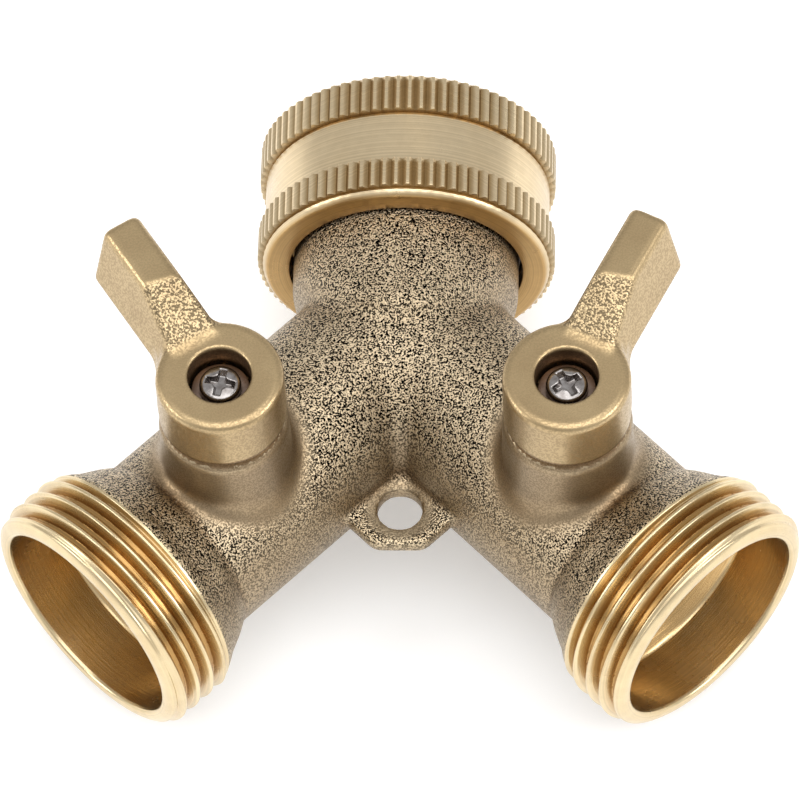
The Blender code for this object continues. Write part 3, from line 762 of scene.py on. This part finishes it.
def math_node(tree, operation, first, second):
    return node(tree, "Math", (0, first), (1, second), operation=operation).outputs[0]


def spread(tree, value, low, high, to_low=0.0, to_high=1.0):
    """The value with low..high stretched to to_low..to_high, and held there beyond."""
    links = [("Value", value), ("From Min", low), ("From Max", high)]
    links += [("To Min", to_low), ("To Max", to_high)]
    return node(tree, "MapRange", *links, clamp=True).outputs[0]


def noise(tree, place, scale, detail, rough, dimensions="3D"):
    """Cloudy noise between 0 and 1, from a vector, or from one number where the noise is 1D."""
    where = ("W", place) if dimensions == "1D" else ("Vector", place)
    made = node(tree, "TexNoise", where, ("Scale", scale), ("Detail", detail), ("Roughness", rough),
                noise_dimensions=dimensions)
    return made.outputs["Fac"]


def blend(tree, share, first, second, sockets, **settings):
    """A Mix node: first where the share is 0 and second where it is 1. Returns its outputs."""
    links = list(zip(sockets, (share, first, second)))
    return node(tree, "Mix", *links, **settings).outputs


def blend_value(tree, share, first, second):
    return blend(tree, share, first, second, (0, 2, 3), data_type="FLOAT")[0]


def blend_colour(tree, share, first, second, mode="MIX"):
    return blend(tree, share, first, second, (0, 6, 7), data_type="RGBA", blend_type=mode)[2]


def grey_of(tree, value):
    """A grey as bright as the value."""
    return node(tree, "CombineColor", (0, value), (1, value), (2, value)).outputs[0]


def sand_grain_group():
    """The bite that blasting leaves: Height for bump, Fleck for bright and dark grains."""
    tree, given, out = new_group("sand_grain", {"Grains per mm": 3.0}, {"Height": 0.0, "Fleck": 0.0})
    place = node(tree, "TexCoord").outputs["Object"]
    scale = math_node(tree, "MULTIPLY", given.outputs[0], 1000.0)
    fine = noise(tree, place, scale, 1.0, 0.5)
    coarse = noise(tree, place, math_node(tree, "MULTIPLY", scale, 0.4), 1.0, 0.5)
    height = blend_value(tree, 0.15, fine, coarse)
    tree.links.new(height, out.inputs["Height"])
    tree.links.new(spread(tree, height, 0.45, 0.55), out.inputs["Fleck"])
    return tree


def slow_stain_group():
    """Broad cloudy variation of tone, a few millimetres across."""
    tree, given, out = new_group("slow_stain", {"Size mm": 4.0}, {"Mask": 0.0})
    place = node(tree, "TexCoord").outputs["Object"]
    scale = math_node(tree, "DIVIDE", 1000.0, given.outputs[0])
    cloud = noise(tree, place, scale, 3.0, 0.55)
    tree.links.new(spread(tree, cloud, 0.25, 0.75), out.inputs["Mask"])
    return tree


def surface_bend_group():
    """From the stored hollow value: Hollow is 1 in fillets and corners, Edge is 1 on proud edges."""
    sockets = {"Hollow from": 0.02, "Hollow to": 0.25, "Edge from": 0.12, "Edge to": 0.35}
    tree, given, out = new_group("surface_bend", sockets, {"Hollow": 0.0, "Edge": 0.0})
    bend = node(tree, "Attribute", attribute_name="hollow").outputs["Fac"]
    proud = math_node(tree, "MULTIPLY", bend, -1.0)
    # Hollow drives painted shade in fillets and corners, and Edge a painted highlight on proud edges.
    tree.links.new(spread(tree, bend, given.outputs[0], given.outputs[1]), out.inputs["Hollow"])
    tree.links.new(spread(tree, proud, given.outputs[2], given.outputs[3]), out.inputs["Edge"])
    return tree


def tool_mark_group():
    """Fine rings left by the lathe, from each point's stored height and radius."""
    tree, given, out = new_group("tool_marks", {"Rings per mm": 6.0}, {"Height": 0.0, "Streak": 0.0})
    along = node(tree, "Attribute", attribute_name="along").outputs["Fac"]
    reach = node(tree, "Attribute", attribute_name="reach").outputs["Fac"]
    spot = math_node(tree, "ADD", along, math_node(tree, "MULTIPLY", reach, 1.3))
    rings = noise(tree, spot, given.outputs[0], 2.0, 0.6, "1D")
    place = node(tree, "TexCoord").outputs["Object"]
    breaks = noise(tree, place, 900.0, 2.0, 0.5)
    ring_part = math_node(tree, "MULTIPLY", rings, 0.75)
    mixed = math_node(tree, "ADD", ring_part, math_node(tree, "MULTIPLY", breaks, 0.25))
    tree.links.new(mixed, out.inputs["Height"])
    tree.links.new(spread(tree, mixed, 0.35, 0.65), out.inputs["Streak"])
    return tree


GRAIN = sand_grain_group()
STAIN = slow_stain_group()
BEND = surface_bend_group()
MARKS = tool_mark_group()


def use_group(tree, group, **values):
    """The group placed in a material, with its inputs set by name. Returns its outputs."""
    made = tree.nodes.new("ShaderNodeGroup")
    made.node_tree = group
    for label, value in values.items():
        made.inputs[label.replace("_", " ")].default_value = value
    return made.outputs


def new_material(name):
    """A fresh material with its node tree and its Principled shader."""
    material = bpy.data.materials.new(name)
    material.use_nodes = True
    tree = material.node_tree
    return material, tree, tree.nodes["Principled BSDF"]


def bump(tree, height, distance):
    links = [("Height", height), ("Distance", distance), ("Strength", 1.0)]
    return node(tree, "Bump", *links).outputs["Normal"]


def grained_brass(name, bright, dark, edge, grains, bite, rough, bend, fleck_share):
    """Blasted or tumbled brass: grain, painted shade in hollows, painted highlight on proud edges, slow tone
    change.

    bright, bite and fleck_share are pairs: first elsewhere, then on the coarse patch. bite is how deep
    the grain is in millimetres, grains how many there are to one, and fleck_share how dark the flecks get.
    """
    material, tree, shader = new_material(name)
    grain = use_group(tree, GRAIN, Grains_per_mm=grains)
    stain = use_group(tree, STAIN, Size_mm=5.0)
    shape = use_group(tree, BEND, **bend)
    patch = node(tree, "Attribute", attribute_name="patch").outputs["Fac"]
    base = blend_colour(tree, patch, *bright)
    tone = blend_colour(tree, spread(tree, stain["Mask"], 0, 1, 0.0, 0.3), base, dark)
    # Painted shade: fillets and corners are mixed towards the dark tone.
    tone = blend_colour(tree, spread(tree, shape["Hollow"], 0, 1, 0.0, 0.85), tone, dark)
    # Painted highlight: proud edges are mixed towards the lighter edge tone.
    tone = blend_colour(tree, spread(tree, shape["Edge"], 0, 1, 0.0, 0.7), tone, edge)
    low = spread(tree, patch, 0, 1, 1 - fleck_share[0], 1 - fleck_share[1])
    high = spread(tree, patch, 0, 1, 1 + fleck_share[0] * 0.5, 1 + fleck_share[1] * 0.5)
    speck = blend_value(tree, grain["Fleck"], low, high)
    tone = blend_colour(tree, 1.0, tone, grey_of(tree, speck), "MULTIPLY")
    tree.links.new(tone, shader.inputs["Base Color"])
    gloss = spread(tree, grain["Fleck"], 0, 1, rough + 0.08, rough - 0.08)
    tree.links.new(gloss, shader.inputs["Roughness"])
    share = spread(tree, patch, 0, 1, bite[0] / bite[1], 1.0)
    height = math_node(tree, "MULTIPLY", grain["Height"], share)
    tree.links.new(bump(tree, height, bite[1] * MM), shader.inputs["Normal"])
    shader.inputs["Metallic"].default_value = 1.0
    return material


def turned_metal(name, crest, root, inside, bore_r, rings, bite, rough):
    """Machined brass: lathe rings, the root tone as painted shade in stored roots, the inside tone within
    bore_r.
    """
    material, tree, shader = new_material(name)
    marks = use_group(tree, MARKS, Rings_per_mm=rings)
    stain = use_group(tree, STAIN, Size_mm=4.0)
    reach = node(tree, "Attribute", attribute_name="reach").outputs["Fac"]
    groove = node(tree, "Attribute", attribute_name="root").outputs["Fac"]
    tone = blend_colour(tree, spread(tree, stain["Mask"], 0, 1, 0.0, 0.22), crest, root)
    tone = blend_colour(tree, spread(tree, reach, bore_r - 0.3, bore_r, 1.0, 0.0), tone, inside)
    # Painted shade: the root tone where the stored root value is high.
    tone = blend_colour(tree, spread(tree, groove, 0.15, 1.0), tone, root)
    shade = spread(tree, marks["Streak"], 0, 1, 0.86, 1.06)
    tone = blend_colour(tree, 1.0, tone, grey_of(tree, shade), "MULTIPLY")
    tree.links.new(tone, shader.inputs["Base Color"])
    gloss = spread(tree, stain["Mask"], 0, 1, rough - 0.05, rough + 0.07)
    tree.links.new(gloss, shader.inputs["Roughness"])
    tree.links.new(bump(tree, marks["Height"], bite * MM), shader.inputs["Normal"])
    shader.inputs["Metallic"].default_value = 1.0
    return material


def plain_coated(name, colour, second, rough, metallic, size, bite):
    """Plated, moulded or drawn stock: two near tones, cloudy gloss and a little fine grain.

    size is how broad the clouds are and bite how deep the grain is, both in millimetres.
    """
    material, tree, shader = new_material(name)
    stain = use_group(tree, STAIN, Size_mm=size)
    grain = use_group(tree, GRAIN, Grains_per_mm=4.0)
    tone = blend_colour(tree, stain["Mask"], colour, second)
    tree.links.new(tone, shader.inputs["Base Color"])
    gloss = spread(tree, stain["Mask"], 0, 1, rough - 0.05, rough + 0.08)
    tree.links.new(gloss, shader.inputs["Roughness"])
    tree.links.new(bump(tree, grain["Height"], bite * MM), shader.inputs["Normal"])
    shader.inputs["Metallic"].default_value = metallic
    return material


# ---------------------------------------------------------------- the object

cast_brass = grained_brass(
    "cast_brass", bright=((0.33, 0.25, 0.155, 1), (0.48, 0.39, 0.265, 1)), dark=(0.16, 0.095, 0.045, 1),
    edge=(0.55, 0.45, 0.3, 1), grains=5.6, bite=(0.02, 0.17), rough=0.42, fleck_share=(0.15, 1.0),
    bend={"Hollow_from": 0.03, "Hollow_to": 0.22, "Edge_from": 0.1, "Edge_to": 0.4})
handle_brass = grained_brass(
    "handle_brass", bright=((0.48, 0.36, 0.2, 1), (0.44, 0.335, 0.195, 1)), dark=(0.2, 0.12, 0.055, 1),
    edge=(0.7, 0.56, 0.33, 1), grains=4.5, bite=(0.01, 0.09), rough=0.37, fleck_share=(0.14, 0.6),
    bend={"Hollow_from": 0.03, "Hollow_to": 0.3, "Edge_from": 0.1, "Edge_to": 0.35})
thread_brass = turned_metal(
    "thread_brass", crest=(0.71, 0.58, 0.36, 1), root=(0.4, 0.235, 0.085, 1),
    inside=(0.64, 0.44, 0.21, 1), bore_r=11.0, rings=5.0, bite=0.02, rough=0.24)
nut_brass = turned_metal(
    "nut_brass", crest=(0.71, 0.57, 0.365, 1), root=(0.34, 0.225, 0.1, 1),
    inside=(0.56, 0.36, 0.15, 1), bore_r=14.45, rings=5.0, bite=0.015, rough=0.3)
trim_brass = turned_metal(
    "trim_brass", crest=(0.74, 0.55, 0.27, 1), root=(0.5, 0.33, 0.13, 1),
    inside=(0.6, 0.42, 0.2, 1), bore_r=1.7, rings=6.0, bite=0.01, rough=0.3)
plated_steel = plain_coated(
    "plated_steel", (0.42, 0.4, 0.39, 1), (0.18, 0.16, 0.15, 1), rough=0.2, metallic=1.0, size=0.8,
    bite=0.01)
washer_brass = plain_coated(
    "washer_brass", (0.26, 0.19, 0.15, 1), (0.14, 0.1, 0.08, 1), rough=0.3, metallic=1.0, size=0.8,
    bite=0.01)
spring_steel = plain_coated(
    "spring_steel", (0.3, 0.29, 0.28, 1), (0.16, 0.14, 0.12, 1), rough=0.35, metallic=1.0, size=1.0,
    bite=0.01)
chromed_brass = plain_coated(
    "chromed_brass", (0.78, 0.78, 0.78, 1), (0.66, 0.66, 0.67, 1), rough=0.1, metallic=1.0, size=3.0,
    bite=0.002)
white_ptfe = plain_coated(
    "white_ptfe", (0.86, 0.86, 0.83, 1), (0.76, 0.75, 0.71, 1), rough=0.5, metallic=0.0, size=1.5, bite=0.01)
black_rubber = plain_coated(
    "black_rubber", (0.03, 0.03, 0.032, 1), (0.055, 0.052, 0.05, 1), rough=0.6, metallic=0.0, size=1.2,
    bite=0.02)

build_casting(cast_brass)
build_nut(nut_brass)
build_inlet_trim(black_rubber, spring_steel)
for side_name in SIDES:
    build_outlet(side_name, thread_brass)
    build_handle(side_name, handle_brass)
    build_screw(side_name, plated_steel, washer_brass)
    build_stem(side_name, trim_brass, black_rubber)
    build_valve_inside(side_name, chromed_brass, white_ptfe, trim_brass)


# ---------------------------------------------------------------- floor, light and camera

def build_floor():
    """A pale square plate under the object, a little bright of itself."""
    mesh = bpy.data.meshes.new("floor")
    reach = 4.0
    corners = [(-reach, -reach, 0), (reach, -reach, 0), (reach, reach, 0), (-reach, reach, 0)]
    mesh.from_pydata(corners, [], [(0, 1, 2, 3)])
    material, tree, shader = new_material("pale_floor")
    shader.inputs["Base Color"].default_value = (0.85, 0.85, 0.85, 1)
    shader.inputs["Roughness"].default_value = 0.9
    shader.inputs["Specular IOR Level"].default_value = 0.1
    shader.inputs["Emission Color"].default_value = (1, 1, 1, 1)
    shader.inputs["Emission Strength"].default_value = 0.3
    mesh.materials.append(material)
    floor = bpy.data.objects.new("floor", mesh)
    bpy.context.scene.collection.objects.link(floor)


def way_out(azimuth, elevation):
    """The way from the object at these angles in radians. Azimuth 0 is in front, at -Y, and 90 is at +X."""
    level = math.cos(elevation)
    return Vector((math.sin(azimuth) * level, -math.cos(azimuth) * level, math.sin(elevation)))


def add_light(name, azimuth, elevation, distance, size, power):
    """A square soft light aimed at the object, with its angles in degrees."""
    away = way_out(math.radians(azimuth), math.radians(elevation))
    lamp = bpy.data.lights.new(name, "AREA")
    lamp.shape = "SQUARE"
    lamp.size = size
    lamp.energy = power
    light = bpy.data.objects.new(name, lamp)
    bpy.context.scene.collection.objects.link(light)
    aim = away.to_track_quat("Z", "Y").to_matrix().to_4x4()
    light.matrix_world = Matrix.Translation(Vector(JUNCTION) + away * distance) @ aim


def build_camera():
    """A long lens high in front of the outlets, rolled a little about its own axis."""
    azimuth, elevation, roll = math.radians(4.177), math.radians(58.777), math.radians(-3.46)
    from_junction = Vector((25.088, -353.088, 574.799)) * MM
    back = way_out(azimuth, elevation)
    right = Vector((math.cos(azimuth), math.sin(azimuth), 0))
    up = back.cross(right)
    turned_right = math.cos(roll) * right + math.sin(roll) * up
    turned_up = -math.sin(roll) * right + math.cos(roll) * up
    data = bpy.data.cameras.new("camera")
    data.lens = 300.9
    data.sensor_width = 36.0
    data.clip_start = 0.01
    data.clip_end = 20
    camera = bpy.data.objects.new("camera", data)
    bpy.context.scene.collection.objects.link(camera)
    place = Matrix((turned_right, turned_up, back)).transposed().to_4x4()
    place.translation = Vector(JUNCTION) + from_junction
    camera.matrix_world = place
    bpy.context.scene.camera = camera


def build_world():
    """An even white surround."""
    world = bpy.data.worlds.new("studio")
    bpy.context.scene.world = world
    world.use_nodes = True
    background = world.node_tree.nodes["Background"]
    background.inputs["Color"].default_value = (1, 1, 1, 1)
    background.inputs["Strength"].default_value = 0.72


build_floor()
add_light("front_softbox", 15, 80, 0.9, 0.8, 4.5)
add_light("left_softbox", -80, 30, 0.8, 0.4, 1.9)
add_light("right_softbox", 75, 35, 0.8, 0.4, 2.4)
build_world()
bpy.context.scene.view_settings.view_transform = "Standard"
build_camera()
